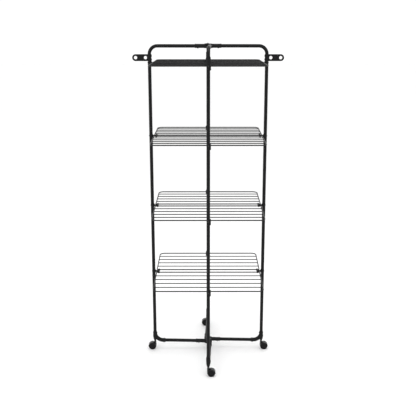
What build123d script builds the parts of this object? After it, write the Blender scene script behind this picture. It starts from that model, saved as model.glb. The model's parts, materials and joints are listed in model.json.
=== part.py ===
"""Four-tier folding clothes-drying tower on swivel castors, in millimetres.

Four tube frames stand round one upright axis like the sails of a windmill. The left and right frames are
fixed to a hub at the top and another at the bottom; the front and rear frames turn on pins in those hubs
and fold flat against them. Each tier is two wire half-tiers, hinged on the left and right posts and clipped
to the front or rear post, and they hang down once they are unclipped. Front is -Y, right is +X, and the
origin is on the floor, on the tower's axis.
"""

from build123d import *
import os
from math import atan2, degrees, hypot

os.makedirs("parts", exist_ok=True)

# Layout of the tower
reach = 320.0  # tower axis to the middle of each post
hub_offset = 12.0  # each frame is rooted this far to the side of both centre lines
top_bar_z = 1800.0
base_rail_z = 58.0
tier_heights = [1710.0, 1307.0, 904.0, 501.0]

# Tube and wire
tube_radius = 9.5
tube_wall = 1.2
bend_radius = 44.0
frame_wire_radius = 3.2
rung_wire_radius = 2.6
tube_gap = 0.5  # half the gap between two tube ends inside a coupler

# Couplers under the top bends, and the hanger plates on two of them
coupler_z = top_bar_z - 63.0
coupler_height = 37.0
coupler_radius = 12.0
hanger_hole_radius = 9.0
hanger_hole_reach = [21.5, 75.5]  # hole centres from the post's middle
hanger_thickness = 6.0
hanger_web_thickness = 3.2
hanger_rim = 4.5

# Corner elbows
elbow_radius = 12.2
elbow_bend = 48.0
elbow_top_z = 113.0
elbow_reach = 62.0  # post's middle to the end of the rail socket
post_seat_z = 95.0
rail_seat = 44.0  # post's middle to the end of the rail
stem_socket_bottom_z = 55.0
stem_socket_top_z = 87.0
stem_socket_radius = 6.5

# Hubs
sleeve_radius = 11.8
sleeve_reach = 60.0
tube_seat = 28.0  # hub root to the inner end of a tube
cheek_inside = 6.2
cell_radius = 11.0
tongue_radius = 8.0
tongue_half_height = 6.0
sleeve_start = 14.0
pin_radius = 3.0
pin_head_radius = 5.0
pin_head_height = 1.5

# Half-tiers
side_wire_x = 302.0
outer_wire_y = 306.5
hinge_wire_y = 21.0
outer_corner_radius = 30.0
hinge_corner_radius = 7.0
rungs = 4

# Hinge brackets and snap clips
bracket_saddle_radius = 12.8
bracket_saddle_height = 16.0
eye_x = 289.5
eye_length = 10.0
eye_radius = 6.0
bracket_arm_width = 18.0
bracket_arm_height = 8.0
saddle_offset = 2.0  # the clip's saddle lies to one side of its post
saddle_radius = 11.8
clip_seat = 11.2  # post's middle to the flat under the clip's screw head
clip_above = 8.0
clip_below = 20.0
clip_channel_radius = 4.0
clip_finger = 4.0
clip_hook_below = 4.0

# Castors
wheel_radius = 21.0
wheel_width = 9.0
wheel_inner_face = 4.0
trail = 17.0
axle_radius = 2.0
stem_radius = 4.0
hood_radius = 23.3
hood_wall = 1.6
hood_half_width = 13.6
web_half_width = 3.4
boss_radius = 7.0
boss_top_z = 50.0
stem_foot_z = 40.0

# Fits and screws
running_clearance = 0.05
screw_radius = 2.0
screw_head_radius = 3.6
screw_head_height = 1.6
screw_length = 7.5
bracket_screw_length = 25.0
screw_key_radius = 1.6
screw_key_depth = 1.4

arm_length = hypot(reach - hub_offset, hub_offset)
arm_angle = degrees(atan2(-hub_offset, reach - hub_offset))
sleeve_screw_x = (tube_seat + sleeve_reach) / 2
rail_screw_x = arm_length - (rail_seat + elbow_reach) / 2
elbow_screw_z = (post_seat_z + elbow_top_z) / 2
side_turn = {"right": 0, "rear": 90, "left": 180, "front": 270}


def turned(side):
    """The tower's own axes, turned from the right-hand side to another side."""
    return Location((0, 0, 0), (0, 0, side_turn[side]))


def on_arm(side):
    """A frame's own axes: X runs from its root in the hub to its post."""
    return turned(side) * Location((hub_offset, hub_offset, 0), (0, 0, arm_angle))


def write(name, pattern, *spots):
    """Writes a node: the pattern piece at one or more places."""
    with BuildPart() as node:
        with Locations(*spots):
            add(pattern)
    node.part.label = name
    export_step(node.part, f"parts/{name}.step")


def along_x(x, z):
    """A plane square to X, at a distance out along a frame's arm."""
    return Plane(origin=(x, 0, z), x_dir=(0, 1, 0), z_dir=(1, 0, 0))


def screw_hole(x, z, turn=(0, 0, 0)):
    """Cuts a hole for a screw that goes in along X, or along X turned by three angles."""
    with Locations(Location((x, 0, z), turn)):
        Cylinder(screw_radius, 2 * screw_length, rotation=(0, 90, 0), mode=Mode.SUBTRACT)


def skewed_screw_hole(post_x, z, angle):
    """Cuts a screw's hole in the inner side of a tube, turned about the post's axis."""
    with Locations(Location((post_x, 0, z), (0, 0, angle)) * Location((-tube_radius, 0, 0))):
        Cylinder(screw_radius, 2 * screw_length, rotation=(0, 90, 0), mode=Mode.SUBTRACT)


# Top bar: tube from the hub, bent down to the coupler
with BuildPart() as top_bar:
    with BuildLine() as top_bar_path:
        FilletPolyline(
            (tube_seat, 0, top_bar_z),
            (arm_length, 0, top_bar_z),
            (arm_length, 0, coupler_z + tube_gap),
            radius=bend_radius,
        )
    with BuildSketch(along_x(tube_seat, top_bar_z)):
        Circle(tube_radius)
        Circle(tube_radius - tube_wall, mode=Mode.SUBTRACT)
    sweep(path=top_bar_path.wire())
    skewed_screw_hole(arm_length, coupler_z + coupler_height / 4, -arm_angle)
    screw_hole(sleeve_screw_x, top_bar_z - tube_radius, (0, 90, 0))

# Post: straight tube from the corner elbow to the coupler, drilled for the screws of its tier fittings
with BuildPart() as post:
    with BuildSketch(Plane.XY.offset(post_seat_z)):
        with Locations((reach, 0)):
            Circle(tube_radius)
            Circle(tube_radius - tube_wall, mode=Mode.SUBTRACT)
    extrude(amount=coupler_z - tube_gap - post_seat_z)
    screw_hole(reach - tube_radius, coupler_z - coupler_height / 4)
    skewed_screw_hole(reach, elbow_screw_z, arm_angle)
    for height in tier_heights:
        with Locations((reach, 0, height)):
            Cylinder(screw_radius, 4 * tube_radius, rotation=(0, 90, 0), mode=Mode.SUBTRACT)

# Base rail: straight tube from the bottom hub to the corner elbow
with BuildPart() as base_rail:
    with BuildSketch(along_x(tube_seat, base_rail_z)):
        Circle(tube_radius)
        Circle(tube_radius - tube_wall, mode=Mode.SUBTRACT)
    extrude(amount=arm_length - rail_seat - tube_seat)
    screw_hole(sleeve_screw_x, base_rail_z - tube_radius, (0, 90, 0))
    screw_hole(rail_screw_x, base_rail_z - tube_radius, (0, 90, 0))

# Plain coupler: a moulded sleeve that joins the top bar to the post
with BuildPart() as coupler:
    with BuildSketch(Plane.XY.offset(coupler_z - coupler_height / 2)):
        with Locations((reach, 0)):
            Circle(coupler_radius)
    extrude(amount=coupler_height)
    fillet(coupler.edges().filter_by(GeomType.CIRCLE), 1.2)
    with BuildSketch(Plane.XY.offset(coupler_z - coupler_height / 2)):
        with Locations((reach, 0)):
            Circle(tube_radius)
    extrude(amount=coupler_height, mode=Mode.SUBTRACT)
    for quarter in (-coupler_height / 4, coupler_height / 4):
        screw_hole(reach - coupler_radius, coupler_z + quarter)

# Hanger coupler: the same sleeve with a plate for two hooks, its web recessed on both faces
with BuildPart() as hanger_coupler:
    add(coupler.part)
    with BuildSketch(Plane.XZ.offset(-hanger_thickness / 2)):
        with Locations((reach + hanger_hole_reach[1] / 2 + tube_radius / 2, coupler_z)):
            Rectangle(hanger_hole_reach[1] - tube_radius, coupler_height)
        with Locations((reach + hanger_hole_reach[1], coupler_z)):
            Circle(coupler_height / 2)
    extrude(amount=hanger_thickness)
    web_depth = (hanger_thickness - hanger_web_thickness) / 2
    for face_y in (-hanger_thickness / 2, hanger_thickness / 2 - web_depth):
        with BuildSketch(Plane.XZ.offset(-face_y - web_depth)):
            with Locations((reach + sum(hanger_hole_reach) / 2, coupler_z)):
                RectangleRounded(
                    hanger_hole_reach[1] - hanger_hole_reach[0],
                    coupler_height - 2 * hanger_rim,
                    hanger_rim,
                )
            with Locations(*[(reach + out, coupler_z) for out in hanger_hole_reach]):
                Circle(hanger_hole_radius + hanger_rim, mode=Mode.SUBTRACT)
        extrude(amount=web_depth, mode=Mode.SUBTRACT)
    with BuildSketch(Plane.XZ.offset(-coupler_radius)):
        with Locations(*[(reach + out, coupler_z) for out in hanger_hole_reach]):
            Circle(hanger_hole_radius)
    extrude(amount=2 * coupler_radius, mode=Mode.SUBTRACT)
    with BuildSketch(Plane.XY.offset(coupler_z - coupler_height / 2)):
        with Locations((reach, 0)):
            Circle(tube_radius)
    extrude(amount=coupler_height, mode=Mode.SUBTRACT)

# Corner elbow: post socket, rail socket and, under them, the castor's stem socket
with BuildPart() as elbow:
    with BuildLine() as elbow_path:
        FilletPolyline(
            (arm_length - elbow_reach, 0, base_rail_z),
            (arm_length, 0, base_rail_z),
            (arm_length, 0, elbow_top_z),
            radius=elbow_bend,
        )
    with BuildSketch(along_x(arm_length - elbow_reach, base_rail_z)):
        Circle(elbow_radius)
    sweep(path=elbow_path.wire())
    with BuildSketch(Plane.XZ):
        with BuildLine():
            Polyline(
                (arm_length, stem_socket_bottom_z),
                (arm_length + stem_socket_radius, stem_socket_bottom_z),
                (arm_length + 10.0, stem_socket_bottom_z + 11),
                (arm_length + elbow_radius - 0.6, stem_socket_bottom_z + 22),
                (arm_length + elbow_radius - 0.6, post_seat_z),
                (arm_length, post_seat_z),
                close=True,
            )
        make_face()
    revolve(axis=Axis((arm_length, 0, 0), (0, 0, 1)))
    with BuildSketch(Plane.XY.offset(post_seat_z)):
        with Locations((arm_length, 0)):
            Circle(tube_radius)
    extrude(amount=elbow_top_z - post_seat_z, mode=Mode.SUBTRACT)
    with BuildSketch(along_x(arm_length - elbow_reach, base_rail_z)):
        Circle(tube_radius)
    extrude(amount=elbow_reach - rail_seat, mode=Mode.SUBTRACT)
    with BuildSketch(Plane.XY.offset(stem_socket_bottom_z)):
        with Locations((arm_length, 0)):
            Circle(stem_radius + running_clearance)
    extrude(amount=stem_socket_top_z - stem_socket_bottom_z, mode=Mode.SUBTRACT)
    screw_hole(arm_length - elbow_radius, elbow_screw_z)
    with BuildSketch(along_x(arm_length - elbow_radius, elbow_screw_z)):
        Circle(screw_head_radius + 0.3)
    extrude(amount=-elbow_radius / 4, mode=Mode.SUBTRACT)
    screw_hole(rail_screw_x, base_rail_z - elbow_radius, (0, 90, 0))

# Hub: two cheek plates with a diagonal core, fixed sleeves to the left and right, pin holes front and rear
with BuildPart() as hub:
    with BuildSketch(Plane.XY.offset(-sleeve_radius)):
        Rectangle(2 * hub_offset, 2 * hub_offset)
        with GridLocations(2 * hub_offset, 2 * hub_offset, 2, 2):
            Circle(cell_radius)
    extrude(amount=2 * sleeve_radius)
    with BuildSketch(Plane.XY.offset(-cheek_inside)):
        Rectangle(6 * hub_offset, 6 * hub_offset)
        Rectangle(3 * hub_offset, hub_offset, rotation=45, mode=Mode.SUBTRACT)
        with Locations((hub_offset, hub_offset), (-hub_offset, -hub_offset)):
            Circle(cell_radius, mode=Mode.SUBTRACT)
    extrude(amount=2 * cheek_inside, mode=Mode.SUBTRACT)
    for turn in (0, 180):
        with Locations(
            Location((0, 0, 0), (0, 0, turn)) * Location((hub_offset, hub_offset, 0), (0, 0, arm_angle))
        ):
            Cylinder(
                sleeve_radius,
                sleeve_reach,
                rotation=(0, 90, 0),
                align=(Align.CENTER, Align.CENTER, Align.MIN),
            )
            with Locations((tube_seat, 0, 0)):
                Cylinder(
                    tube_radius,
                    sleeve_reach,
                    rotation=(0, 90, 0),
                    align=(Align.CENTER, Align.CENTER, Align.MIN),
                    mode=Mode.SUBTRACT,
                )
            with Locations((sleeve_screw_x, 0, -sleeve_radius)):
                Cylinder(screw_radius, 2 * screw_length, mode=Mode.SUBTRACT)
    with Locations((hub_offset, -hub_offset, 0), (-hub_offset, hub_offset, 0)):
        Cylinder(pin_radius, 4 * sleeve_radius, mode=Mode.SUBTRACT)

# Pivoting arm: a tongue that turns on the pin between the hub's cheeks, and a sleeve for the tube
with BuildPart() as pivot_arm:
    with BuildSketch(Plane.XY.offset(-tongue_half_height)):
        Circle(tongue_radius)
        with Locations((sleeve_start / 2 + 1, 0)):
            Rectangle(sleeve_start + 2, 2 * tongue_radius)
    extrude(amount=2 * tongue_half_height)
    with BuildSketch(along_x(sleeve_start, 0)):
        Circle(sleeve_radius)
    extrude(amount=sleeve_reach - sleeve_start)
    with BuildSketch(along_x(tube_seat, 0)):
        Circle(tube_radius)
    extrude(amount=sleeve_reach - tube_seat, mode=Mode.SUBTRACT)
    Cylinder(pin_radius + running_clearance, 4 * sleeve_radius, mode=Mode.SUBTRACT)
    screw_hole(sleeve_screw_x, -sleeve_radius, (0, 90, 0))

# Hub pin: a headed pin, with its end riveted over
with BuildPart() as hub_pin:
    Cylinder(pin_radius, 2 * sleeve_radius)
    for end_z in (-sleeve_radius - pin_head_height / 2, sleeve_radius + pin_head_height / 2):
        with Locations((0, 0, end_z)):
            Cylinder(pin_head_radius, pin_head_height)
    rims = hub_pin.edges().filter_by(GeomType.CIRCLE).sort_by(Axis.Z)
    fillet([rims[0], rims[-1]], pin_head_height / 2)


def button_screw(length):
    """A screw with a hex socket in its head, lying along -X from the face that the head sits on."""
    with BuildPart() as shape:
        with BuildSketch(Plane.YZ):
            Circle(screw_head_radius)
        extrude(amount=screw_head_height)
        fillet(shape.edges().group_by(Axis.X)[-1], screw_head_height * 0.8)
        with BuildSketch(Plane.YZ):
            Circle(screw_radius)
        extrude(amount=-length)
        with BuildSketch(Plane.YZ.offset(screw_head_height)):
            RegularPolygon(screw_key_radius, 6)
        extrude(amount=-screw_key_depth, mode=Mode.SUBTRACT)
    return shape.part


screw = button_screw(screw_length)
bracket_screw = button_screw(bracket_screw_length)

# Front half-tier: a closed frame of thick wire with thinner rungs welded across it
with BuildPart() as half_tier:
    with BuildLine() as tier_path:
        FilletPolyline(
            (-side_wire_x, -outer_wire_y, 0),
            (side_wire_x, -outer_wire_y, 0),
            (side_wire_x, -hinge_wire_y, 0),
            (-side_wire_x, -hinge_wire_y, 0),
            radius=[outer_corner_radius, outer_corner_radius, hinge_corner_radius, hinge_corner_radius],
            close=True,
        )
    with BuildSketch(Plane(origin=tier_path.wire() @ 0, z_dir=tier_path.wire() % 0)):
        Circle(frame_wire_radius)
    sweep(path=tier_path.wire())
    rung_pitch = (outer_wire_y - hinge_wire_y) / (rungs + 1)
    for number in range(1, rungs + 1):
        with Locations((0, -hinge_wire_y - number * rung_pitch, 0)):
            Cylinder(rung_wire_radius, 2 * side_wire_x, rotation=(0, 90, 0))

# Hinge bracket: a saddle on the post's inner side with two eyes that the hinge wires turn in
with BuildPart() as bracket:
    with BuildSketch(Plane.XY.offset(-bracket_saddle_height / 2)):
        with Locations((reach, 0)):
            Circle(bracket_saddle_radius)
        with Locations((reach + 1 + bracket_saddle_radius, 0)):
            Rectangle(2 * bracket_saddle_radius, 4 * bracket_saddle_radius, mode=Mode.SUBTRACT)
    extrude(amount=bracket_saddle_height)
    fillet(bracket.edges().filter_by(GeomType.CIRCLE), 1.5)
    arm_end = eye_x - eye_length / 2
    with BuildSketch(Plane.XY.offset(-bracket_arm_height / 2)):
        with Locations(((arm_end + reach) / 2, 0)):
            Rectangle(reach - arm_end, bracket_arm_width)
        with Locations((eye_x, 0)):
            Rectangle(eye_length, 2 * hinge_wire_y)
    extrude(amount=bracket_arm_height)
    with BuildSketch(along_x(arm_end, 0)):
        with Locations((-hinge_wire_y, 0), (hinge_wire_y, 0)):
            Circle(eye_radius)
    extrude(amount=eye_length)
    with BuildSketch(along_x(arm_end, 0)):
        with Locations((-hinge_wire_y, 0), (hinge_wire_y, 0)):
            Circle(frame_wire_radius + running_clearance)
    extrude(amount=eye_length, mode=Mode.SUBTRACT)
    with Locations((reach, 0, 0)):
        Cylinder(tube_radius, 2 * bracket_saddle_height, mode=Mode.SUBTRACT)
        Cylinder(
            screw_radius,
            2 * (bracket_screw_length - tube_radius),
            rotation=(0, 90, 0),
            mode=Mode.SUBTRACT,
        )

# Snap clip: a saddle on one side of the front post, with a hook over the half-tier's outer wire
with BuildPart() as clip:
    with Locations((saddle_offset, -reach, (clip_above - clip_below) / 2)):
        Cylinder(saddle_radius, clip_above + clip_below)
    fillet(clip.edges().filter_by(GeomType.CIRCLE), 2)
    with BuildSketch(Plane.XY.offset(-clip_below)):
        with Locations((0, -outer_wire_y - clip_channel_radius + 2 * saddle_radius)):
            Rectangle(4 * saddle_radius, 4 * saddle_radius)
        with Locations((-2 * saddle_radius - 4, -reach), (1 - 2 * saddle_radius, -reach + 2 * saddle_radius)):
            Rectangle(4 * saddle_radius, 4 * saddle_radius)
    extrude(amount=clip_above + clip_below, mode=Mode.SUBTRACT)
    hook_back_y = -reach - tube_radius / 2
    hook_front_y = -outer_wire_y + clip_channel_radius + clip_finger
    hook_side_x = saddle_offset + saddle_radius
    with BuildSketch(Plane.XY.offset(-clip_hook_below)):
        with Locations((hook_side_x / 2 + 1, (hook_back_y + hook_front_y) / 2)):
            RectangleRounded(hook_side_x - 2, hook_front_y - hook_back_y, 2)
    extrude(amount=clip_hook_below + clip_above)
    with BuildSketch(Plane.YZ):
        with Locations((-outer_wire_y, 0)):
            Circle(clip_channel_radius)
        with Locations((-outer_wire_y, -clip_below / 2)):
            Rectangle(2 * clip_channel_radius, clip_below)
    extrude(amount=2 * hook_side_x, mode=Mode.SUBTRACT)
    with Locations((0, -reach, 0)):
        Cylinder(tube_radius, 4 * clip_below, mode=Mode.SUBTRACT)
    with Locations((0, -reach - saddle_radius, 0)):
        Cylinder(screw_radius, 2 * screw_length, rotation=(90, 0, 0), mode=Mode.SUBTRACT)
    with BuildSketch(Plane.XZ.offset(reach + clip_seat)):
        Circle(screw_head_radius + 0.3)
    extrude(amount=saddle_radius, mode=Mode.SUBTRACT)

# Castor housing: a hood over two wheels, a web between them and a boss for the stem
with BuildPart() as castor_housing:
    with BuildSketch(Plane.XZ.offset(-hood_half_width)):
        with Locations((trail, wheel_radius)):
            Circle(hood_radius)
        with Locations((trail, 0)):
            Rectangle(4 * wheel_radius, 2 * wheel_radius, mode=Mode.SUBTRACT)
    extrude(amount=2 * hood_half_width)
    with BuildSketch(Plane.XY.offset(wheel_radius)):
        Circle(boss_radius)
    extrude(amount=boss_top_z - wheel_radius)
    for face_y in (hood_half_width + 1, -web_half_width):
        with BuildSketch(Plane.XZ.offset(-face_y)):
            with Locations((trail, wheel_radius)):
                Circle(hood_radius - hood_wall)
        extrude(amount=hood_half_width + 1 - web_half_width, mode=Mode.SUBTRACT)
    with BuildSketch(Plane.XZ.offset(-web_half_width)):
        with Locations((trail, wheel_radius)):
            Circle(hood_radius - 0.5)
        with Locations((trail, 0)):
            Rectangle(4 * wheel_radius, wheel_radius, mode=Mode.SUBTRACT)
    extrude(amount=2 * web_half_width)
    with BuildSketch(Plane.XY.offset(stem_foot_z)):
        Circle(stem_radius)
    extrude(amount=boss_top_z - stem_foot_z, mode=Mode.SUBTRACT)
    with Locations((trail, 0, wheel_radius)):
        Cylinder(axle_radius, 4 * wheel_radius, rotation=(90, 0, 0), mode=Mode.SUBTRACT)

# Castor stem: a steel pin with a thrust collar and a retaining ring groove
with BuildPart() as castor_stem:
    with BuildSketch(Plane.XY.offset(stem_foot_z)):
        Circle(stem_radius)
    extrude(amount=stem_socket_top_z - 4 - stem_foot_z)
    with BuildSketch(Plane.XY.offset(boss_top_z)):
        Circle(stem_radius + 2)
    extrude(amount=(stem_socket_bottom_z - boss_top_z) * 0.6)
    groove_z = stem_socket_top_z - 9
    with BuildSketch(Plane.XY.offset(groove_z)):
        Circle(stem_radius + 1)
        Circle(stem_radius - 0.6, mode=Mode.SUBTRACT)
    extrude(amount=2, mode=Mode.SUBTRACT)
    chamfer(castor_stem.edges().sort_by(Axis.Z)[-1], 1)

# Castor axle: a plain rod pressed through the web
with BuildPart() as castor_axle:
    with Locations((trail, 0, wheel_radius)):
        Cylinder(axle_radius, 2 * (wheel_inner_face + wheel_width) - 1, rotation=(90, 0, 0))
    chamfer(castor_axle.edges().filter_by(GeomType.CIRCLE), 0.4)

# Castor wheels: two moulded discs with a dished outer face
with BuildPart() as castor_wheels:
    with BuildSketch(Plane.XZ) as wheel_profile:
        with BuildLine():
            Polyline(
                (0, wheel_inner_face),
                (wheel_radius, wheel_inner_face),
                (wheel_radius, wheel_inner_face + wheel_width),
                (wheel_radius - 4, wheel_inner_face + wheel_width),
                (wheel_radius - 5.5, wheel_inner_face + wheel_width - 2.5),
                (6, wheel_inner_face + wheel_width - 2.5),
                (5, wheel_inner_face + wheel_width - 0.5),
                (0, wheel_inner_face + wheel_width - 0.5),
                close=True,
            )
        make_face()
        tread = wheel_profile.vertices().group_by(Axis.X)[-1]
        fillet(tread, 1.5)
    revolve(axis=Axis.Z)
    mirror(about=Plane.XY)
    Cylinder(axle_radius + running_clearance, 4 * wheel_radius, mode=Mode.SUBTRACT)

wheel_spot = Location((trail, 0, wheel_radius), (90, 0, 0))

# The four frames
for side in side_turn:
    write(f"{side}_top_bar", top_bar.part, on_arm(side))
    write(f"{side}_base_rail", base_rail.part, on_arm(side))
    write(f"{side}_corner_elbow", elbow.part, on_arm(side))
    write(f"{side}_post", post.part, turned(side))
    sleeve = hanger_coupler if side in ("left", "right") else coupler
    write(f"{side}_coupler", sleeve.part, turned(side))

# The hubs, their pins and the pivoting arms
for level, height in {"top": top_bar_z, "bottom": base_rail_z}.items():
    write(f"{level}_hub", hub.part, Location((0, 0, height)))
    write(
        f"{level}_hub_pins",
        hub_pin.part,
        Location((hub_offset, -hub_offset, height)),
        Location((-hub_offset, hub_offset, height)),
    )
    for side in ("front", "rear"):
        write(f"{side}_{level}_arm", pivot_arm.part, on_arm(side) * Location((0, 0, height)))

# The tiers, counted from the top, and their fittings
for number, height in enumerate(tier_heights, start=1):
    write(f"tier_{number}_front", half_tier.part, Location((0, 0, height)))
    write(f"tier_{number}_rear", half_tier.part, Location((0, 0, height), (0, 0, 180)))
for side in ("right", "left"):
    spots = [turned(side) * Location((0, 0, height)) for height in tier_heights]
    write(f"{side}_tier_brackets", bracket.part, *spots)
for side, turn in {"front": 0, "rear": 180}.items():
    spots = [Location((0, 0, height), (0, 0, turn)) for height in tier_heights]
    write(f"{side}_tier_clips", clip.part, *spots)

# The castors: the side ones trail outwards, the front one to the right and the rear one to the left
castor_turn = {"right": 0, "rear": 180, "left": 180, "front": 0}
for side, turn in castor_turn.items():
    foot = (turned(side) * Location((reach, 0, 0))).position
    spot = Location(foot, (0, 0, turn))
    write(f"{side}_castor_housing", castor_housing.part, spot)
    write(f"{side}_castor_stem", castor_stem.part, spot)
    write(f"{side}_castor_axle", castor_axle.part, spot)
    write(f"{side}_castor_wheels", castor_wheels.part, spot * wheel_spot)

# The screws of each frame
downward = (0, 90, 0)
inward = (0, 0, 180)
arm_screws = [
    Location((sleeve_screw_x, 0, top_bar_z - sleeve_radius), downward),
    Location((sleeve_screw_x, 0, base_rail_z - sleeve_radius), downward),
    Location((rail_screw_x, 0, base_rail_z - elbow_radius), downward),
    Location((arm_length - elbow_radius, 0, elbow_screw_z), inward),
]
coupler_screws = [
    Location((reach - coupler_radius, 0, coupler_z - coupler_height / 4), inward),
    Location((reach - coupler_radius, 0, coupler_z + coupler_height / 4), inward),
]
clip_screws = [Location((reach + clip_seat, 0, height)) for height in tier_heights]
bracket_screws = [Location((reach + tube_radius, 0, height)) for height in tier_heights]


def frame_screws(side):
    """The places of the screws that hold one frame's tubes."""
    on_post = [turned(side) * spot for spot in coupler_screws]
    return on_post + [on_arm(side) * spot for spot in arm_screws]


write("fixed_frame_screws", screw, *frame_screws("left"), *frame_screws("right"))
for side in ("front", "rear"):
    on_clips = [turned(side) * spot for spot in clip_screws]
    write(f"{side}_frame_screws", screw, *frame_screws(side), *on_clips)
write(
    "bracket_screws",
    bracket_screw,
    *[turned(side) * spot for side in ("left", "right") for spot in bracket_screws],
)
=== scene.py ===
"""Folding clothes-drying tower of black tube and wire on four castors. Metres; front is -Y, right is +X."""

import json
import math

import bmesh
import bpy
from mathutils import Matrix, Vector


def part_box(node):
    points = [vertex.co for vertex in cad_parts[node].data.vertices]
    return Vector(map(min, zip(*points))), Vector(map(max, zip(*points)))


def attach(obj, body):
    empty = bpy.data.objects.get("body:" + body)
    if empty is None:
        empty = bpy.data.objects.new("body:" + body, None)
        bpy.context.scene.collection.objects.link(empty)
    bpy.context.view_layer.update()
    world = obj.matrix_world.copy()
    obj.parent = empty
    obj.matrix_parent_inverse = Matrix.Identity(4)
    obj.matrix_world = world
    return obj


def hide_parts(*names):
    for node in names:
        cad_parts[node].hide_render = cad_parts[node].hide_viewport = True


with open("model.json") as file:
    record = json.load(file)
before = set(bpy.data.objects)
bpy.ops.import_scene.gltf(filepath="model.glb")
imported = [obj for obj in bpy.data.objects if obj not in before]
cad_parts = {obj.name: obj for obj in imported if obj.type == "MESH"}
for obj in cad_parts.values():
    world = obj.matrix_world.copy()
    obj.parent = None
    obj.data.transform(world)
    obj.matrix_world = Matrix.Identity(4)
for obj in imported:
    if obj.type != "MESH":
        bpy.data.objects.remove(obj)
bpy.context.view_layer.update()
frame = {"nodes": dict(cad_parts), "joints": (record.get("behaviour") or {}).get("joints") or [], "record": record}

# ------------------------------------------------------------------------------------------ Studio
# A wide white floor that runs out to a white surround, a soft panel overhead and a weaker, larger one
# from the front left. The camera stands in front of the tower, above its top, and looks down a little.
CAMERA_PLACE = (-0.009, -3.622, 1.910)
CAMERA_TILT = math.radians(13.6)
CAMERA_TURN = math.radians(0.13)
scene = bpy.context.scene
scene.view_settings.view_transform = "Standard"

camera = bpy.data.objects.new("camera", bpy.data.cameras.new("camera"))
camera.data.lens = 56.54
camera.data.sensor_width = 36.0
camera.data.shift_y = -0.06
camera.location = CAMERA_PLACE
camera.rotation_euler = (math.pi / 2 - CAMERA_TILT, 0, -CAMERA_TURN)
scene.collection.objects.link(camera)
scene.camera = camera

surround = bpy.data.worlds.new("surround")
surround.use_nodes = True
surround.node_tree.nodes["Background"].inputs["Color"].default_value = (1, 1, 1, 1)
surround.node_tree.nodes["Background"].inputs["Strength"].default_value = 1.06
scene.world = surround


def light_panel(name, place, aim, size, power):
    """A square soft light that faces a point."""
    lamp = bpy.data.lights.new(name, "AREA")
    lamp.size = size
    lamp.energy = power
    panel = bpy.data.objects.new(name, lamp)
    panel.location = place
    panel.rotation_euler = (Vector(aim) - Vector(place)).to_track_quat("-Z", "Y").to_euler()
    scene.collection.objects.link(panel)


light_panel("overhead_panel", place=(0.4, -0.6, 4.2), aim=(0, 0, 0.6), size=1.4, power=36)
light_panel("front_panel", place=(-2.8, -3.4, 2.6), aim=(0, 0, 0.9), size=1.8, power=24)

floor_shape = bmesh.new()
bmesh.ops.create_grid(floor_shape, x_segments=1, y_segments=1, size=30)
floor_mesh = bpy.data.meshes.new("floor")
floor_shape.to_mesh(floor_mesh)
floor_shape.free()
floor = bpy.data.objects.new("floor", floor_mesh)
scene.collection.objects.link(floor)
white = bpy.data.materials.new("white_floor")
white.use_nodes = True
white.node_tree.nodes["Principled BSDF"].inputs["Base Color"].default_value = (0.95, 0.95, 0.95, 1)
white.node_tree.nodes["Principled BSDF"].inputs["Roughness"].default_value = 0.7
floor_mesh.materials.append(white)

# ------------------------------------------------------------------------------------ Steel tubes
# The bent top bars, the posts and the base rails are thin-walled steel tube, powder coated satin black
# before assembly, so the coat has a fine orange peel and is a little duller where it pooled.
POWDER_BLACK = (0.0035, 0.0035, 0.0038)
POWDER_WORN = (0.0075, 0.0075, 0.0080)


def coated_finish(name, dark, light, dull, bright, grain, relief, gloss=0.14):
    """A painted or moulded finish: mottled tone and gloss, and a fine raised grain of the given size."""
    finish = bpy.data.materials.new(name)
    finish.use_nodes = True
    nodes, links = finish.node_tree.nodes, finish.node_tree.links
    shader = nodes["Principled BSDF"]
    shader.inputs["Specular IOR Level"].default_value = gloss
    spot = nodes.new("ShaderNodeTexCoord")

    mottle = nodes.new("ShaderNodeTexNoise")
    mottle.inputs["Scale"].default_value = 34.0
    mottle.inputs["Detail"].default_value = 5.0
    links.new(spot.outputs["Object"], mottle.inputs["Vector"])
    tone = nodes.new("ShaderNodeValToRGB")
    tone.color_ramp.elements[0].position = 0.35
    tone.color_ramp.elements[0].color = (*dark, 1)
    tone.color_ramp.elements[1].position = 0.75
    tone.color_ramp.elements[1].color = (*light, 1)
    links.new(mottle.outputs["Fac"], tone.inputs["Fac"])
    links.new(tone.outputs["Color"], shader.inputs["Base Color"])

    sheen = nodes.new("ShaderNodeMapRange")
    sheen.inputs["From Min"].default_value = 0.3
    sheen.inputs["From Max"].default_value = 0.7
    sheen.inputs["To Min"].default_value = bright
    sheen.inputs["To Max"].default_value = dull
    links.new(mottle.outputs["Fac"], sheen.inputs["Value"])
    links.new(sheen.outputs["Result"], shader.inputs["Roughness"])

    peel = nodes.new("ShaderNodeTexNoise")
    peel.inputs["Scale"].default_value = 1 / grain
    peel.inputs["Detail"].default_value = 2.0
    links.new(spot.outputs["Object"], peel.inputs["Vector"])
    bump = nodes.new("ShaderNodeBump")
    bump.inputs["Strength"].default_value = 0.5
    bump.inputs["Distance"].default_value = relief
    links.new(peel.outputs["Fac"], bump.inputs["Height"])
    links.new(bump.outputs["Normal"], shader.inputs["Normal"])
    return finish


powder_coat = coated_finish(
    "powder_coat", POWDER_BLACK, POWDER_WORN, dull=0.44, bright=0.33, grain=0.0012, relief=0.00006
)


def refinish(node, finish):
    """Gives a frame node its finish."""
    mesh = frame["nodes"][node].data
    mesh.materials.clear()
    mesh.materials.append(finish)


SIDES = {"right": 0, "rear": 90, "left": 180, "front": 270}
for side in SIDES:
    for run in ("top_bar", "post", "base_rail"):
        refinish(f"{side}_{run}", powder_coat)

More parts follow.
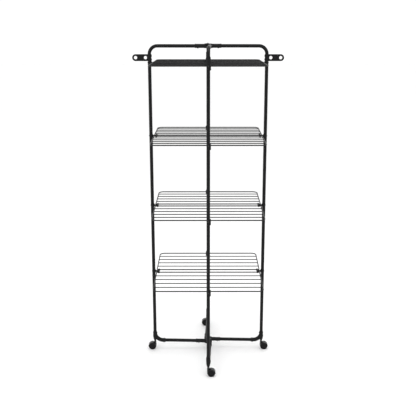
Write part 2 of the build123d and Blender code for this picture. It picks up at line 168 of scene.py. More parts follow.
# Where the tubes are, read from the frame
post_low, post_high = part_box("right_post")
TUBE_RADIUS = (post_high.y - post_low.y) / 2
REACH = (post_low.x + post_high.x) / 2
TOP_BAR_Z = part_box("right_top_bar")[1].z - TUBE_RADIUS
RAIL_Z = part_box("right_base_rail")[0].z + TUBE_RADIUS
joint_places = {joint["name"]: Vector(joint["pos_m"]) for joint in frame["joints"]}
HUB_OFFSET = joint_places["front_frame_fold"].x
ARM_LENGTH = math.hypot(REACH - HUB_OFFSET, HUB_OFFSET)
ARM_ANGLE = math.atan2(-HUB_OFFSET, REACH - HUB_OFFSET)


def post_space(side):
    """From a drawing of the right-hand side to another side of the tower."""
    return Matrix.Rotation(math.radians(SIDES[side]), 4, "Z")


def arm_space(side):
    """From a drawing with X along an arm, starting at its root in the hub, to that arm's place."""
    root = Matrix.Translation((HUB_OFFSET, HUB_OFFSET, 0))
    return post_space(side) @ root @ Matrix.Rotation(ARM_ANGLE, 4, "Z")


def frame_of(side):
    """The body that a side's parts ride on."""
    return f"{side}_frame" if side in ("front", "rear") else "fixed_frame"


# -------------------------------------------------------------------------------------- Couplers
# Moulded nylon sleeves join each top bar to its post and hide the joint. They have a thick lip at each
# end, a parting line down both sides, and two ringed seats for the screws on the inner side.
MOULD_BLACK = (0.0045, 0.0045, 0.0048)
MOULD_GREY = (0.0095, 0.0095, 0.0100)
CREASE = math.radians(32)  # edges sharper than this are shaded sharp
moulded_nylon = coated_finish(
    "moulded_nylon", MOULD_BLACK, MOULD_GREY, dull=0.6, bright=0.47, grain=0.0007, relief=0.00009
)

coupler_low, coupler_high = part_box("front_coupler")
COUPLER_RADIUS = (coupler_high.x - coupler_low.x) / 2
COUPLER_HALF = (coupler_high.z - coupler_low.z) / 2
COUPLER_Z = (coupler_high.z + coupler_low.z) / 2
LIP = 0.0045
LIP_STEP = 0.0007
SLEEVE_BITE = 0.0004  # how far a sleeve's bore lies inside the tube's skin
PARTING_WIDTH = 0.0009
PARTING_DEPTH = 0.0010
SEAT_BORE = 0.0038
SEAT_RADIUS = 0.0050
SEAT_HEIGHT = 0.0005


def lathe(outline, steps=44):
    """A solid of revolution round Z from a closed outline of (radius, height) points."""
    shape = bmesh.new()
    points = [shape.verts.new((radius, 0, height)) for radius, height in outline]
    edges = []
    for here, there in zip(points, points[1:] + points[:1]):
        if here.co.x > 0 or there.co.x > 0:
            edges.append(shape.edges.new((here, there)))
    bmesh.ops.spin(
        shape,
        geom=points + edges,
        cent=(0, 0, 0),
        axis=(0, 0, 1),
        angle=math.tau,
        steps=steps,
        use_merge=True,
    )
    bmesh.ops.remove_doubles(shape, verts=shape.verts, dist=1e-6)
    return shape


def block(size, ease=0.0003):
    """A block centred on the origin with eased edges."""
    shape = bmesh.new()
    bmesh.ops.create_cube(shape, size=1, matrix=Matrix.Diagonal((*size, 1)))
    bmesh.ops.bevel(
        shape,
        geom=shape.edges[:],
        offset=ease,
        segments=2,
        affect="EDGES",
        profile=0.5,
        material=-1,
    )
    return shape


def put_in(piece, shape, place=Matrix()):
    """Moves a finished shape to its place and adds it to a piece."""
    bmesh.ops.recalc_face_normals(shape, faces=shape.faces)
    shape.transform(place)
    scratch = bpy.data.meshes.new("scratch")
    shape.to_mesh(scratch)
    shape.free()
    piece.from_mesh(scratch)
    bpy.data.meshes.remove(scratch)


def hand_over(shape, name, finish, body, slot, *stands_for):
    """Makes a finished shape a piece of the tower that moves with a body."""
    for face in shape.faces:
        face.smooth = True
    for edge in shape.edges:
        edge.smooth = edge.calc_face_angle(0.0) < CREASE
    mesh = bpy.data.meshes.new(name)
    shape.to_mesh(mesh)
    shape.free()
    mesh.materials.append(finish)
    piece = bpy.data.objects.new(name, mesh)
    scene.collection.objects.link(piece)
    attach(piece, body)
    if stands_for:
        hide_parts(*stands_for)


def at(x, y=0.0, z=0.0):
    """A plain move."""
    return Matrix.Translation((x, y, z))


def about(axis, degrees):
    """A plain turn about one axis."""
    return Matrix.Rotation(math.radians(degrees), 4, axis)


def lipped_sleeve(radius, low, high, bore):
    """A sleeve round Z with a raised, rounded lip at each end."""
    ease = 0.0008
    waist = radius - LIP_STEP
    return lathe(
        [
            (bore, low),
            (radius - ease, low),
            (radius - ease * 0.3, low + ease * 0.3),
            (radius, low + ease),
            (radius, low + LIP),
            (waist, low + LIP + LIP_STEP),
            (waist, high - LIP - LIP_STEP),
            (radius, high - LIP),
            (radius, high - ease),
            (radius - ease * 0.3, high - ease * 0.3),
            (radius - ease, high),
            (bore, high),
        ]
    )


def screw_seat():
    """A low ring round a screw's head, standing on X = 0 and facing +X."""
    root = -0.002
    ease = 0.0003
    ring = lathe(
        [
            (SEAT_BORE, root),
            (SEAT_RADIUS, root),
            (SEAT_RADIUS, SEAT_HEIGHT - ease),
            (SEAT_RADIUS - ease, SEAT_HEIGHT),
            (SEAT_BORE, SEAT_HEIGHT),
        ],
        steps=28,
    )
    ring.transform(about("Y", 90))
    return ring


def coupler_sleeve():
    """The sleeve that all four couplers share, drawn on the right-hand post."""
    sleeve = bmesh.new()
    tube = lipped_sleeve(COUPLER_RADIUS, -COUPLER_HALF, COUPLER_HALF, TUBE_RADIUS - SLEEVE_BITE)
    put_in(sleeve, tube, at(REACH, 0, COUPLER_Z))
    for way in (-1, 1):
        line = block((PARTING_WIDTH, PARTING_DEPTH, 2 * COUPLER_HALF - 0.003))
        put_in(sleeve, line, at(REACH, way * (COUPLER_RADIUS - 0.0004), COUPLER_Z))
        seat_place = at(REACH - COUPLER_RADIUS, 0, COUPLER_Z + way * COUPLER_HALF / 2)
        put_in(sleeve, screw_seat(), seat_place @ about("Z", 180))
    return sleeve


for side in ("front", "rear"):
    sleeve = coupler_sleeve()
    sleeve.transform(post_space(side))
    name = f"{side}_coupler_sleeve"
    hand_over(sleeve, name, moulded_nylon, frame_of(side), "moulding", f"{side}_coupler")

# --------------------------------------------------------------------------------- Hanger plates
# The left and right couplers carry a moulded plate for two hangers. Its web is thin, with a thick rim
# all round, a thick ring round each hole, and three ribs that run from one ring to the other.
PLATE_EASE = 0.0006
WEB_THICKNESS = 0.0032
hole_mounts = [mount for mount in frame["record"]["mounts"] if mount["name"].startswith("right_hanger")]
hole_reaches = sorted(mount["pos_m"][0] for mount in hole_mounts)
HOLE_RADIUS = hole_mounts[0]["dims"]["r_mm"] / 1000
PLATE_THICKNESS = hole_mounts[0]["dims"]["length_mm"] / 1000
RIM_WIDTH = 0.0042
RIB_THICKNESS = 0.0016
RIB_PITCH = 0.008


def ring_of(x, y, radius, start=0.0, sweep=360.0, count=48):
    """Points on a circle or an arc, anticlockwise, in degrees."""
    last = count if sweep == 360.0 else count - 1
    angles = [math.radians(start + sweep * step / last) for step in range(count)]
    return [(x + radius * math.cos(angle), y + radius * math.sin(angle)) for angle in angles]


def cut_plate(outlines, thickness, ease):
    """A flat plate centred on the origin, cut to its first outline; the others are its holes."""
    curve = bpy.data.curves.new("outline", "CURVE")
    curve.dimensions = "2D"
    curve.fill_mode = "BOTH"
    curve.extrude = thickness / 2 - ease
    curve.bevel_depth = ease
    curve.bevel_resolution = 2
    curve.offset = -ease
    for points in outlines:
        spline = curve.splines.new("POLY")
        spline.points.add(len(points) - 1)
        for point, (x, y) in zip(spline.points, points):
            point.co = (x, y, 0, 1)
        spline.use_cyclic_u = True
    holder = bpy.data.objects.new("outline", curve)
    scene.collection.objects.link(holder)
    mesh = bpy.data.meshes.new_from_object(holder)
    bpy.data.objects.remove(holder)
    bpy.data.curves.remove(curve)
    plate = bmesh.new()
    plate.from_mesh(mesh)
    bpy.data.meshes.remove(mesh)
    bmesh.ops.remove_doubles(plate, verts=plate.verts, dist=1e-6)
    return plate


def hanger_outline(inset):
    """The plate's outline: straight from the sleeve, with a round end."""
    near = REACH + TUBE_RADIUS
    tall = COUPLER_HALF - inset
    round_end = ring_of(hole_reaches[1], 0, tall, -90, 180, 33)
    return [(near + inset, -tall), *round_end, (near + inset, tall)]


for side in ("left", "right"):
    plate = coupler_sleeve()
    holes = [ring_of(x, 0, HOLE_RADIUS) for x in hole_reaches]
    upright = at(0, 0, COUPLER_Z) @ about("X", 90)
    put_in(plate, cut_plate([hanger_outline(0.0004), *holes], WEB_THICKNESS, PLATE_EASE), upright)
    rim = cut_plate([hanger_outline(0), hanger_outline(RIM_WIDTH)], PLATE_THICKNESS, PLATE_EASE)
    put_in(plate, rim, upright)
    for x, hole in zip(hole_reaches, holes):
        collar = cut_plate([ring_of(x, 0, HOLE_RADIUS + RIM_WIDTH), hole], PLATE_THICKNESS, PLATE_EASE)
        put_in(plate, collar, upright)
    middle = sum(hole_reaches) / 2
    rib_length = hole_reaches[1] - hole_reaches[0] - 2 * HOLE_RADIUS
    for z in (-RIB_PITCH, 0, RIB_PITCH):
        rib = block((rib_length, PLATE_THICKNESS - 2 * PLATE_EASE, RIB_THICKNESS))
        put_in(plate, rib, at(middle, 0, COUPLER_Z + z))
    plate.transform(post_space(side))
    hand_over(plate, f"{side}_hanger_plate", moulded_nylon, "fixed_frame", "moulding", f"{side}_coupler")

# ---------------------------------------------------------------------------------- Corner elbows
# One nylon moulding at each foot turns the base rail up into the post and takes the castor's stem from
# below. It has a lip at each mouth, a parting line along both sides, and a ribbed heel over the stem.
elbow_low, elbow_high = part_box("right_corner_elbow")
ELBOW_RADIUS = RAIL_Z - elbow_low.z
ELBOW_BEND = 0.048
ELBOW_REACH = 0.062
ELBOW_TOP_Z = elbow_high.z
RAIL_SEAT = 0.044  # post's middle to the end of the rail inside the elbow
POST_SOCKET = 0.018  # depth of the post in its socket
SOCKET_Z = RAIL_Z - 0.003
HEEL_RADIUS = ELBOW_RADIUS - LIP_STEP - 0.0003
ELBOW_LIP = 0.012
ARC_STEP = 7.5  # degrees of bend per facet
HEEL_RIBS = 5
HEEL_RIB = (0.0016, 0.0012, 0.016)


def bent_rod(radius, start, heading, axis, steps, sides):
    """Round rod formed as on a bender. Each step is a straight run, then a bend by an angle and a radius
    about the given axis."""
    rod = bmesh.new()
    spot, heading, axis = Vector(start), Vector(heading), Vector(axis)
    square_on = heading.to_track_quat("Z", "Y").to_matrix().to_4x4()
    bmesh.ops.create_circle(rod, segments=sides, radius=radius, matrix=Matrix.Translation(spot) @ square_on)
    edges = rod.edges[:]
    for run, degrees, bend_radius in steps:
        if run:
            drawn = bmesh.ops.extrude_edge_only(rod, edges=edges)["geom"]
            points = [part for part in drawn if isinstance(part, bmesh.types.BMVert)]
            bmesh.ops.translate(rod, verts=points, vec=heading * run)
            end = set(points)
            edges = [part for part in drawn if isinstance(part, bmesh.types.BMEdge)]
            edges = [edge for edge in edges if end.issuperset(edge.verts)]
            spot = spot + heading * run
        if degrees:
            centre = spot + axis.cross(heading) * math.copysign(bend_radius, degrees)
            turn = Matrix.Rotation(math.radians(degrees), 3, axis)
            ends = {point for edge in edges for point in edge.verts}
            bent = bmesh.ops.spin(
                rod,
                geom=[*ends, *edges],
                cent=centre,
                axis=axis,
                angle=math.radians(degrees),
                steps=max(4, round(abs(degrees) / ARC_STEP)),
            )
            edges = [part for part in bent["geom_last"] if isinstance(part, bmesh.types.BMEdge)]
            spot = centre + turn @ (spot - centre)
            heading = turn @ heading
    bmesh.ops.remove_doubles(rod, verts=rod.verts, dist=1e-6)
    bmesh.ops.holes_fill(rod, edges=[edge for edge in rod.edges if edge.is_boundary])
    return rod


for side in SIDES:
    elbow = bmesh.new()
    start = (ARM_LENGTH - ELBOW_REACH, 0, RAIL_Z)
    rise = ELBOW_TOP_Z - RAIL_Z - ELBOW_BEND
    steps = [(ELBOW_REACH - ELBOW_BEND, 90, ELBOW_BEND), (rise, 0, 0)]
    put_in(elbow, bent_rod(ELBOW_RADIUS - LIP_STEP, start, (1, 0, 0), (0, -1, 0), steps, 40))
    rail_lip = lipped_sleeve(ELBOW_RADIUS, 0, ELBOW_LIP, TUBE_RADIUS - SLEEVE_BITE)
    put_in(elbow, rail_lip, at(*start) @ about("Y", 90))
    post_lip = lipped_sleeve(ELBOW_RADIUS, -ELBOW_LIP, 0, TUBE_RADIUS - SLEEVE_BITE)
    put_in(elbow, post_lip, at(ARM_LENGTH, 0, ELBOW_TOP_Z))
    heel = lathe(
        [
            (0, SOCKET_Z),
            (0.0052, SOCKET_Z),
            (0.0062, SOCKET_Z + 0.0008),
            (0.0072, SOCKET_Z + 0.0045),
            (0.0100, SOCKET_Z + 0.0125),
            (HEEL_RADIUS, SOCKET_Z + 0.022),
            (HEEL_RADIUS, ELBOW_TOP_Z - 0.006),
            (0, ELBOW_TOP_Z - 0.006),
        ]
    )
    put_in(elbow, heel, at(ARM_LENGTH))
    for way in (-1, 1):
        line_start = (start[0], way * (ELBOW_RADIUS - LIP_STEP - 0.0001), RAIL_Z)
        put_in(elbow, bent_rod(0.0005, line_start, (1, 0, 0), (0, -1, 0), steps, 8))
    seat_x = ARM_LENGTH - (RAIL_SEAT + ELBOW_REACH) / 2
    put_in(elbow, screw_seat(), at(seat_x, 0, RAIL_Z - ELBOW_RADIUS) @ about("Y", 90))
    seat_z = ELBOW_TOP_Z - POST_SOCKET / 2
    put_in(elbow, screw_seat(), at(ARM_LENGTH - ELBOW_RADIUS, 0, seat_z) @ about("Z", 180))
    for number in range(HEEL_RIBS):
        rib = block(HEEL_RIB, 0.0004)
        swing = at(ARM_LENGTH, 0, SOCKET_Z + 0.033) @ about("Z", -60 + 30 * number)
        put_in(elbow, rib, swing @ at(ELBOW_RADIUS - 0.0006, 0, 0))
    elbow.transform(arm_space(side))
    hand_over(elbow, f"{side}_elbow", moulded_nylon, frame_of(side), "moulding", f"{side}_corner_elbow")

# ------------------------------------------------------------------------------ Hubs and hub arms
# Each hub is a nylon block: two cheek plates on a core, with fixed sleeves left and right. The front and
# rear tubes sit in pivoting arms whose tongues turn between the cheeks, on steel pins riveted over.
SLEEVE_RADIUS = (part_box("top_hub")[1].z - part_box("top_hub")[0].z) / 2
SLEEVE_REACH = 0.060
SLEEVE_START = 0.014
SLEEVE_SCREW_X = 0.044
CHEEK = 0.0046
TONGUE_HALF = 0.006
TONGUE_RADIUS = 0.008
GUSSET_Y = 0.0075
GUSSET_THICKNESS = 0.0018
CELL_RADIUS = 0.011
CORE_RADIUS = 0.0105
CORE_TOP = 0.009
PIN_BOSS_RADIUS = 0.0085
PIN_BOSS_HEIGHT = 0.0016
LEVELS = {"top": TOP_BAR_Z, "bottom": RAIL_Z}


def hub_sleeve(start):
    """A hub sleeve lying along X from its start to its lipped mouth."""
    sleeve = bmesh.new()
    tube = lathe(
        [
            (0, start),
            (SLEEVE_RADIUS - 0.0012, start),
            (SLEEVE_RADIUS - 0.0003, start + 0.0009),
            (SLEEVE_RADIUS - LIP_STEP, start + 0.002),
            (SLEEVE_RADIUS - LIP_STEP, SLEEVE_REACH - LIP - LIP_STEP),
            (SLEEVE_RADIUS, SLEEVE_REACH - LIP),
            (SLEEVE_RADIUS, SLEEVE_REACH - 0.0008),
            (SLEEVE_RADIUS - 0.0008, SLEEVE_REACH),
            (0, SLEEVE_REACH),
        ]
    )
    put_in(sleeve, tube, about("Y", 90))
    for way in (-1, 1):
        line = block((SLEEVE_REACH - start - 0.008, PARTING_DEPTH, PARTING_WIDTH))
        put_in(sleeve, line, at((SLEEVE_REACH + start) / 2 - 0.002, way * (SLEEVE_RADIUS - 0.0008), 0))
    put_in(sleeve, screw_seat(), at(SLEEVE_SCREW_X, 0, -SLEEVE_RADIUS) @ about("Y", 90))
    return sleeve


def square_outline(half, corner):
    """A square with round corners, centred on the origin."""
    points = []
    for number, (x, y) in enumerate(((1, 1), (-1, 1), (-1, -1), (1, -1))):
        inset = half - corner
        points += ring_of(x * inset, y * inset, corner, 90 * number, 90, 9)
    return points


for level, height in LEVELS.items():
    hub = bmesh.new()
    for way in (-1, 1):
        cheek = cut_plate([square_outline(HUB_OFFSET + CELL_RADIUS, CELL_RADIUS)], CHEEK, 0.0008)
        put_in(hub, cheek, at(0, 0, way * (SLEEVE_RADIUS - CHEEK / 2)))
        boss = cut_plate([ring_of(0, 0, PIN_BOSS_RADIUS)], PIN_BOSS_HEIGHT, 0.0005)
        put_in(hub, boss, at(0, 0, way * (SLEEVE_RADIUS + 0.0002)))
    put_in(hub, block((3 * HUB_OFFSET, HUB_OFFSET, 2 * SLEEVE_RADIUS - CHEEK), 0.001), about("Z", 45))
    for turn in (0, 180):
        root = about("Z", turn) @ at(HUB_OFFSET, HUB_OFFSET) @ Matrix.Rotation(ARM_ANGLE, 4, "Z")
        put_in(hub, hub_sleeve(0), root)
        core_foot = -SLEEVE_RADIUS + 0.001
        core = lathe([(0, core_foot), (CORE_RADIUS, core_foot), (CORE_RADIUS, CORE_TOP), (0, CORE_TOP)])
        put_in(hub, core, root)
    hub.transform(at(0, 0, height))
    hand_over(hub, f"{level}_hub_block", moulded_nylon, "fixed_frame", "moulding", f"{level}_hub")
    for side in ("front", "rear"):
        arm = hub_sleeve(SLEEVE_START)
        tongue_end = SLEEVE_START + 0.002
        tongue = ring_of(0, 0, TONGUE_RADIUS, 90, 180, 17)
        tongue += [(tongue_end, -TONGUE_RADIUS), (tongue_end, TONGUE_RADIUS)]
        put_in(arm, cut_plate([tongue], 2 * TONGUE_HALF, 0.0006))
        for y in (-GUSSET_Y, GUSSET_Y):
            gusset = block((0.007, GUSSET_THICKNESS, 2 * SLEEVE_RADIUS - 0.006), 0.0005)
            put_in(arm, gusset, at(SLEEVE_START + 0.0012, y, 0))
        arm.transform(arm_space(side) @ at(0, 0, height))
        name = f"{side}_{level}_pivot_arm"
        hand_over(arm, name, moulded_nylon, frame_of(side), "moulding", f"{side}_{level}_arm")

# ---------------------------------------------------------------------------- Hub pins and screws
# The pins are steel rivets with a low domed head at both ends. The screws are black button-head screws
# with a hex socket. Both are blackened steel, smoother and shinier than the tube's coat.
blackened_steel = coated_finish(
    "blackened_steel",
    dark=(0.012, 0.012, 0.0125),
    light=(0.024, 0.024, 0.025),
    dull=0.38,
    bright=0.26,
    grain=0.0005,
    relief=0.00002,
    gloss=0.5,
)
PIN_RADIUS = 0.003
PIN_HEAD = 0.005
for level, height in LEVELS.items():
    pins = bmesh.new()
    head_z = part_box(f"{level}_hub_pins")[1].z - height
    dome_turns = [math.radians(15 * step) for step in range(6)]
    dome = [
        (PIN_HEAD * math.cos(turn), SLEEVE_RADIUS + (head_z - SLEEVE_RADIUS) * math.sin(turn))
        for turn in dome_turns
    ]
    half = [(PIN_RADIUS, SLEEVE_RADIUS), *dome, (0, head_z)]
    pin = [(0, -head_z)] + [(radius, -z) for radius, z in reversed(half[:-1])] + half
    for x, y in ((HUB_OFFSET, -HUB_OFFSET), (-HUB_OFFSET, HUB_OFFSET)):
        put_in(pins, lathe(pin, 32), at(x, y, height))
    hand_over(pins, f"{level}_rivets", blackened_steel, "fixed_frame", "fastener", f"{level}_hub_pins")
for node in ("fixed_frame_screws", "front_frame_screws", "rear_frame_screws", "bracket_screws"):
    refinish(node, blackened_steel)

# --------------------------------------------------------------------------------------- Half-tiers
# Each half-tier is one closed frame of thick steel wire with thinner rungs butted across it and welded,
# then coated all over, so every weld is a smooth swollen bead where a rung meets the frame.
coated_wire = coated_finish(
    "coated_wire", POWDER_BLACK, POWDER_WORN, dull=0.42, bright=0.3, grain=0.0010, relief=0.00004
)
TIERS = 4
RUNGS = 4
RUNG_RADIUS = 0.0026
OUTER_CORNER = 0.030
HINGE_CORNER = 0.007
WELD_HALF_SIZE = (0.0048, 0.0036, 0.0034)
WELD_INSET = 0.0026  # from the side wire's middle to the bead's
tier_low, tier_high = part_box("tier_1_rear")
WIRE_RADIUS = (tier_high.z - tier_low.z) / 2
SIDE_WIRE_X = tier_high.x - WIRE_RADIUS
OUTER_WIRE_Y = tier_high.y - WIRE_RADIUS
HINGE_WIRE_Y = tier_low.y + WIRE_RADIUS
tier_heights = [joint_places[f"tier_{number}_front_drop"].z for number in range(1, TIERS + 1)]


def rung_places():
    """The Y of each rung of the front half-tier."""
    pitch = (OUTER_WIRE_Y - HINGE_WIRE_Y) / (RUNGS + 1)
    return [-HINGE_WIRE_Y - pitch * number for number in range(1, RUNGS + 1)]


def tier_wires():
    """The bent frame and the rungs of the front half-tier, at the height of the floor."""
    wires = bmesh.new()
    across = SIDE_WIRE_X - OUTER_CORNER
    along = OUTER_WIRE_Y - HINGE_WIRE_Y - OUTER_CORNER - HINGE_CORNER
    back = 2 * (SIDE_WIRE_X - HINGE_CORNER)
    steps = [
        (across, 90, OUTER_CORNER),
        (along, 90, HINGE_CORNER),
        (back, 90, HINGE_CORNER),
        (along, 90, OUTER_CORNER),
        (across, 0, 0),
    ]
    put_in(wires, bent_rod(WIRE_RADIUS, (0, -OUTER_WIRE_Y, 0), (1, 0, 0), (0, 0, 1), steps, 16))
    for y in rung_places():
        steps = [(2 * SIDE_WIRE_X, 0, 0)]
        put_in(wires, bent_rod(RUNG_RADIUS, (-SIDE_WIRE_X, y, 0), (1, 0, 0), (0, 0, 1), steps, 14))
    return wires


def tier_welds():
    """The beads at both ends of each rung."""
    beads = bmesh.new()
    for y in rung_places():
        for x in (-SIDE_WIRE_X, SIDE_WIRE_X):
            bead = bmesh.new()
            bmesh.ops.create_icosphere(bead, subdivisions=2, radius=1)
            bead.transform(Matrix.Diagonal((*WELD_HALF_SIZE, 1)))
            put_in(beads, bead, at(x - math.copysign(WELD_INSET, x), y, 0))
    return beads


for number, height in enumerate(tier_heights, start=1):
    for side, turn in (("front", 0), ("rear", 180)):
        body = f"{side}_tier_{number}"
        place = at(0, 0, height) @ about("Z", turn)
        wires = tier_wires()
        wires.transform(place)
        node = f"tier_{number}_{side}"
        hand_over(wires, f"{side}_tier_{number}_wires", coated_wire, body, "coated_wire", node)
        beads = tier_welds()
        beads.transform(place)
        hand_over(beads, f"{side}_tier_{number}_welds", coated_wire, body, "coated_wire")

# --------------------------------------------------------------------------------- Hinge brackets
# A nylon bracket is screwed to the inner side of the left and right posts at every tier, by a long screw
# through the post. Its arm ends in a crossbar with two eyes, in which the half-tiers' hinge wires turn.
BRACKET_RADIUS = 0.0128
BRACKET_HALF = 0.008
EYE_X = 0.2895
EYE_HALF = 0.005
EYE_RADIUS = 0.006
EYE_PLAY = 0.0001
EYE_WEB = (0.0022, 0.010, 0.0030)
ARM_HALF_WIDTH = 0.0088
ARM_HALF_WAIST = 0.0068
ARM_HALF_END = 0.009
ARM_THICKNESS = 0.006


def inner_saddle():
    """The half-sleeve that hugs the inner side of the right-hand post."""
    outside = ring_of(REACH, 0, BRACKET_RADIUS, 87, 186, 31)
    inside = ring_of(REACH, 0, TUBE_RADIUS - SLEEVE_BITE, 85, 190, 31)
    return cut_plate([outside + inside[::-1]], 2 * BRACKET_HALF, 0.0009)


def tier_bracket():
    """The right-hand bracket, at the height of the floor."""
    bracket = bmesh.new()
    put_in(bracket, inner_saddle())
    near = REACH - BRACKET_RADIUS + 0.002
    far = EYE_X + EYE_HALF - 0.001
    waist = (near + far) / 2
    edge = [(near, ARM_HALF_WIDTH), (waist, ARM_HALF_WAIST), (far, ARM_HALF_END)]
    arm = [(near, -ARM_HALF_WIDTH), *edge, (far, -ARM_HALF_END), (waist, -ARM_HALF_WAIST)]
    put_in(bracket, cut_plate([arm], ARM_THICKNESS, 0.0006))
    spine = block((near - far + 0.004, 0.0026, 0.0092), 0.0005)
    put_in(bracket, spine, at(waist, 0, 0))
    crossbar = (2 * EYE_HALF - 0.001, 2 * HINGE_WIRE_Y - 2 * EYE_RADIUS + 0.004, 0.0078)
    put_in(bracket, block(crossbar, 0.0008), at(EYE_X))
    for y in (-HINGE_WIRE_Y, HINGE_WIRE_Y):
        bore = WIRE_RADIUS + EYE_PLAY
        ease = 0.0007
        eye = lathe(
            [
                (bore, -EYE_HALF),
                (EYE_RADIUS - ease, -EYE_HALF),
                (EYE_RADIUS, -EYE_HALF + ease),
                (EYE_RADIUS, EYE_HALF - ease),
                (EYE_RADIUS - ease, EYE_HALF),
                (bore, EYE_HALF),
            ],
            32,
        )
        put_in(bracket, eye, at(EYE_X, y, 0) @ about("Y", 90))
        web = block(EYE_WEB, 0.0005)
        put_in(bracket, web, at(EYE_X, y * 0.62, 0.0042))
    return bracket


for side in ("left", "right"):
    brackets = bmesh.new()
    for height in tier_heights:
        put_in(brackets, tier_bracket(), post_space(side) @ at(0, 0, height))
    node = f"{side}_tier_brackets"
    hand_over(brackets, f"{side}_brackets", moulded_nylon, "fixed_frame", "moulding", node)

# -------------------------------------------------------------------------------------- Snap clips
# A nylon clip on one side of the front and rear posts holds each half-tier up. Its saddle hugs the post
# and is screwed on from outside; its jaw reaches over the outer wire, with the mouth open downward.
SADDLE_OFFSET = 0.002
SADDLE_RADIUS = 0.0118
SADDLE_START = -125  # degrees round the post, from +X
SADDLE_SWEEP = 176
CLIP_SEAT = 0.0112  # post's middle to the flat under the screw head
CLIP_TOP = 0.008
CLIP_FOOT = -0.020
JAW_RADIUS = 0.0040
JAW_HALF_WIDTH = 0.0059
JAW_X = 0.0079
JAW_FINGER = 0.004
JAW_HEEL = -0.004
CLIP_RIB_HEIGHTS = (-0.0165, -0.0115)
TOP_ROUND = 0.0055
cyclic_turn = Matrix.Rotation(math.radians(120), 4, Vector((1, 1, 1)))  # X to Y, Y to Z and Z to X


def jaw_outline():
    """The jaw's side view round the wire's middle: (towards the axis, up)."""
    back = OUTER_WIRE_Y - REACH
    finger = JAW_RADIUS + JAW_FINGER
    throat = ring_of(0, 0, JAW_RADIUS, 180, -180, 19)
    flared_lip = [(JAW_RADIUS, -0.0022), (JAW_RADIUS + 0.0013, -0.0042), (finger - 0.0008, -0.0042)]
    crown = ring_of(finger - TOP_ROUND, CLIP_TOP - TOP_ROUND, TOP_ROUND, 0, 90, 11)
    return [(back, JAW_HEEL), (-JAW_RADIUS, JAW_HEEL), *throat, *flared_lip, *crown, (back, CLIP_TOP)]


def tier_clip():
    """The front post's clip, at the height of the floor."""
    clip = bmesh.new()
    outside = ring_of(SADDLE_OFFSET, -REACH, SADDLE_RADIUS, SADDLE_START, SADDLE_SWEEP, 31)
    inside = ring_of(0, -REACH, TUBE_RADIUS - SLEEVE_BITE, SADDLE_START + 8, SADDLE_SWEEP + 20, 31)
    saddle = cut_plate([outside + inside[::-1]], CLIP_TOP - CLIP_FOOT, 0.0006)
    put_in(clip, saddle, at(0, 0, (CLIP_TOP + CLIP_FOOT) / 2))
    jaw = cut_plate([jaw_outline()], 2 * JAW_HALF_WIDTH, 0.0006)
    put_in(clip, jaw, at(JAW_X, -OUTER_WIRE_Y, 0) @ cyclic_turn)
    for z in CLIP_RIB_HEIGHTS:
        rib = cut_plate([outside + inside[::-1]], RIB_THICKNESS, 0.0004)
        put_in(clip, rib, at(0.0006, -0.0004, z))
    put_in(clip, screw_seat(), at(0, -REACH - CLIP_SEAT, 0) @ about("Z", -90))
    return clip


for side, turn in (("front", 0), ("rear", 180)):
    clips = bmesh.new()
    for height in tier_heights:
        put_in(clips, tier_clip(), at(0, 0, height) @ about("Z", turn))
    hand_over(clips, f"{side}_clips", moulded_nylon, f"{side}_frame", "moulding", f"{side}_tier_clips")

# ------------------------------------------------------------------------------------------ Castors
# A twin-wheel castor stands under each elbow: a glossy nylon hood with a web between two hard plastic
# wheels. It turns on a black-plated steel stem, and the wheels turn on a steel axle through the web.
castor_nylon = coated_finish(
    "castor_nylon",
    dark=POWDER_BLACK,
    light=(0.0065, 0.0065, 0.0070),
    dull=0.3,
    bright=0.2,
    grain=0.0009,
    relief=0.00003,
    gloss=0.45,
)
wheel_plastic = coated_finish(
    "wheel_plastic", MOULD_BLACK, MOULD_GREY, dull=0.48, bright=0.36, grain=0.0007, relief=0.00005
)
black_plate = coated_finish(
    "black_plate",
    dark=(0.020, 0.020, 0.021),
    light=(0.036, 0.036, 0.038),
    dull=0.4,
    bright=0.3,
    grain=0.0005,
    relief=0.00002,
    gloss=0.5,
)
WHEEL_RADIUS = joint_places["spin_of_right_wheels"].z
TRAIL = joint_places["spin_of_right_wheels"].x - REACH
WHEEL_INNER = 0.004
WHEEL_OUTER = 0.013
HOOD_RADIUS = WHEEL_RADIUS + 0.0023
HOOD_WALL = 0.0016
HOOD_HALF = 0.0136
WEB_HALF = 0.0034
BOSS_RADIUS = 0.007
BOSS_TOP = 0.050
HOOD_GUSSET_THICKNESS = 0.0044
HOOD_RIM_WIDTH = 0.0016
SPOKES = 6
SPOKE_WIDTH = 0.0014
SPOKE_DEPTH = 0.0018


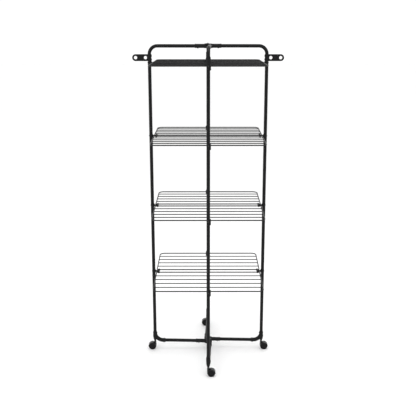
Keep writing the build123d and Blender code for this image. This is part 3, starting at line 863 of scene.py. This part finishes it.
def castor_hood():
    """The hood, web and stem boss, with the stem on Z and the wheels trailing to +X."""
    hood = bmesh.new()
    wheel_middle = at(TRAIL, 0, WHEEL_RADIUS) @ about("X", 90)
    shell = HOOD_RADIUS - HOOD_WALL
    arch = ring_of(0, 0, HOOD_RADIUS, -4, 188, 61) + ring_of(0, 0, shell, 184, -188, 61)
    put_in(hood, cut_plate([arch], 2 * HOOD_HALF, 0.0005), wheel_middle)
    web = ring_of(0, 0, HOOD_RADIUS - 0.0005, -27, 234, 61)
    put_in(hood, cut_plate([web], 2 * WEB_HALF, 0.0005), wheel_middle)
    boss = lathe(
        [
            (0, WHEEL_RADIUS),
            (BOSS_RADIUS, WHEEL_RADIUS),
            (BOSS_RADIUS, BOSS_TOP - 0.0012),
            (BOSS_RADIUS - 0.0012, BOSS_TOP),
            (0, BOSS_TOP),
        ],
        36,
    )
    put_in(hood, boss)
    hood_top = WHEEL_RADIUS + HOOD_RADIUS
    gusset = [
        (0.003, hood_top - 0.006),
        (TRAIL, hood_top - 0.001),
        (0.011, hood_top + 0.0016),
        (0.003, BOSS_TOP - 0.0015),
    ]
    put_in(hood, cut_plate([gusset], HOOD_GUSSET_THICKNESS, 0.0006), about("X", 90))
    rim = ring_of(0, 0, HOOD_RADIUS + 0.0003, 0, 180, 61) + ring_of(0, 0, shell + 0.0004, 180, -180, 61)
    for way in (-1, 1):
        side_place = at(0, way * (HOOD_HALF - 0.0012)) @ wheel_middle
        put_in(hood, cut_plate([rim], HOOD_RIM_WIDTH, 0.0004), side_place)
    return hood


def wheel_pair():
    """Two wheels on the Z axis, with crowned treads and dished, ribbed faces."""
    pair = bmesh.new()
    tread = WHEEL_RADIUS
    outline = [
        (0, WHEEL_INNER),
        (tread - 0.0016, WHEEL_INNER),
        (tread - 0.0005, WHEEL_INNER + 0.0005),
        (tread - 0.0001, WHEEL_INNER + 0.0016),
        (tread, (WHEEL_INNER + WHEEL_OUTER) / 2),
        (tread - 0.0001, WHEEL_OUTER - 0.0016),
        (tread - 0.0005, WHEEL_OUTER - 0.0005),
        (tread - 0.0016, WHEEL_OUTER),
        (tread - 0.0036, WHEEL_OUTER),
        (tread - 0.0044, WHEEL_OUTER - 0.0004),
        (tread - 0.0052, WHEEL_OUTER - 0.0026),
        (0.0068, WHEEL_OUTER - 0.0026),
        (0.0060, WHEEL_OUTER - 0.0020),
        (0.0056, WHEEL_OUTER - 0.0006),
        (0.0050, WHEEL_OUTER - 0.0002),
        (0, WHEEL_OUTER + 0.0002),
    ]
    for flip in (0, 180):
        put_in(pair, lathe(outline, 56), about("X", flip))
        for number in range(SPOKES):
            spoke = block((tread - 0.0105, SPOKE_WIDTH, SPOKE_DEPTH), 0.0004)
            outward = at((tread + 0.0015) / 2, 0, WHEEL_OUTER - 0.0024)
            put_in(pair, spoke, about("X", flip) @ about("Z", 360 / SPOKES * number) @ outward)
    return pair


CASTOR_TURNS = {"right": 0, "rear": 180, "left": 180, "front": 0}
for side, turn in CASTOR_TURNS.items():
    foot = post_space(side) @ Vector((REACH, 0, 0))
    place = Matrix.Translation(foot) @ about("Z", turn)
    hood = castor_hood()
    hood.transform(place)
    body = f"{side}_castor"
    hand_over(hood, f"{body}_hood", castor_nylon, body, "castor_moulding", f"{body}_housing")
    wheels = wheel_pair()
    wheels.transform(place @ at(TRAIL, 0, WHEEL_RADIUS) @ about("X", 90))
    hand_over(wheels, f"{side}_wheel_pair", wheel_plastic, f"{side}_wheels", "wheel", f"{body}_wheels")
    for run in ("stem", "axle"):
        refinish(f"{body}_{run}", black_plate)
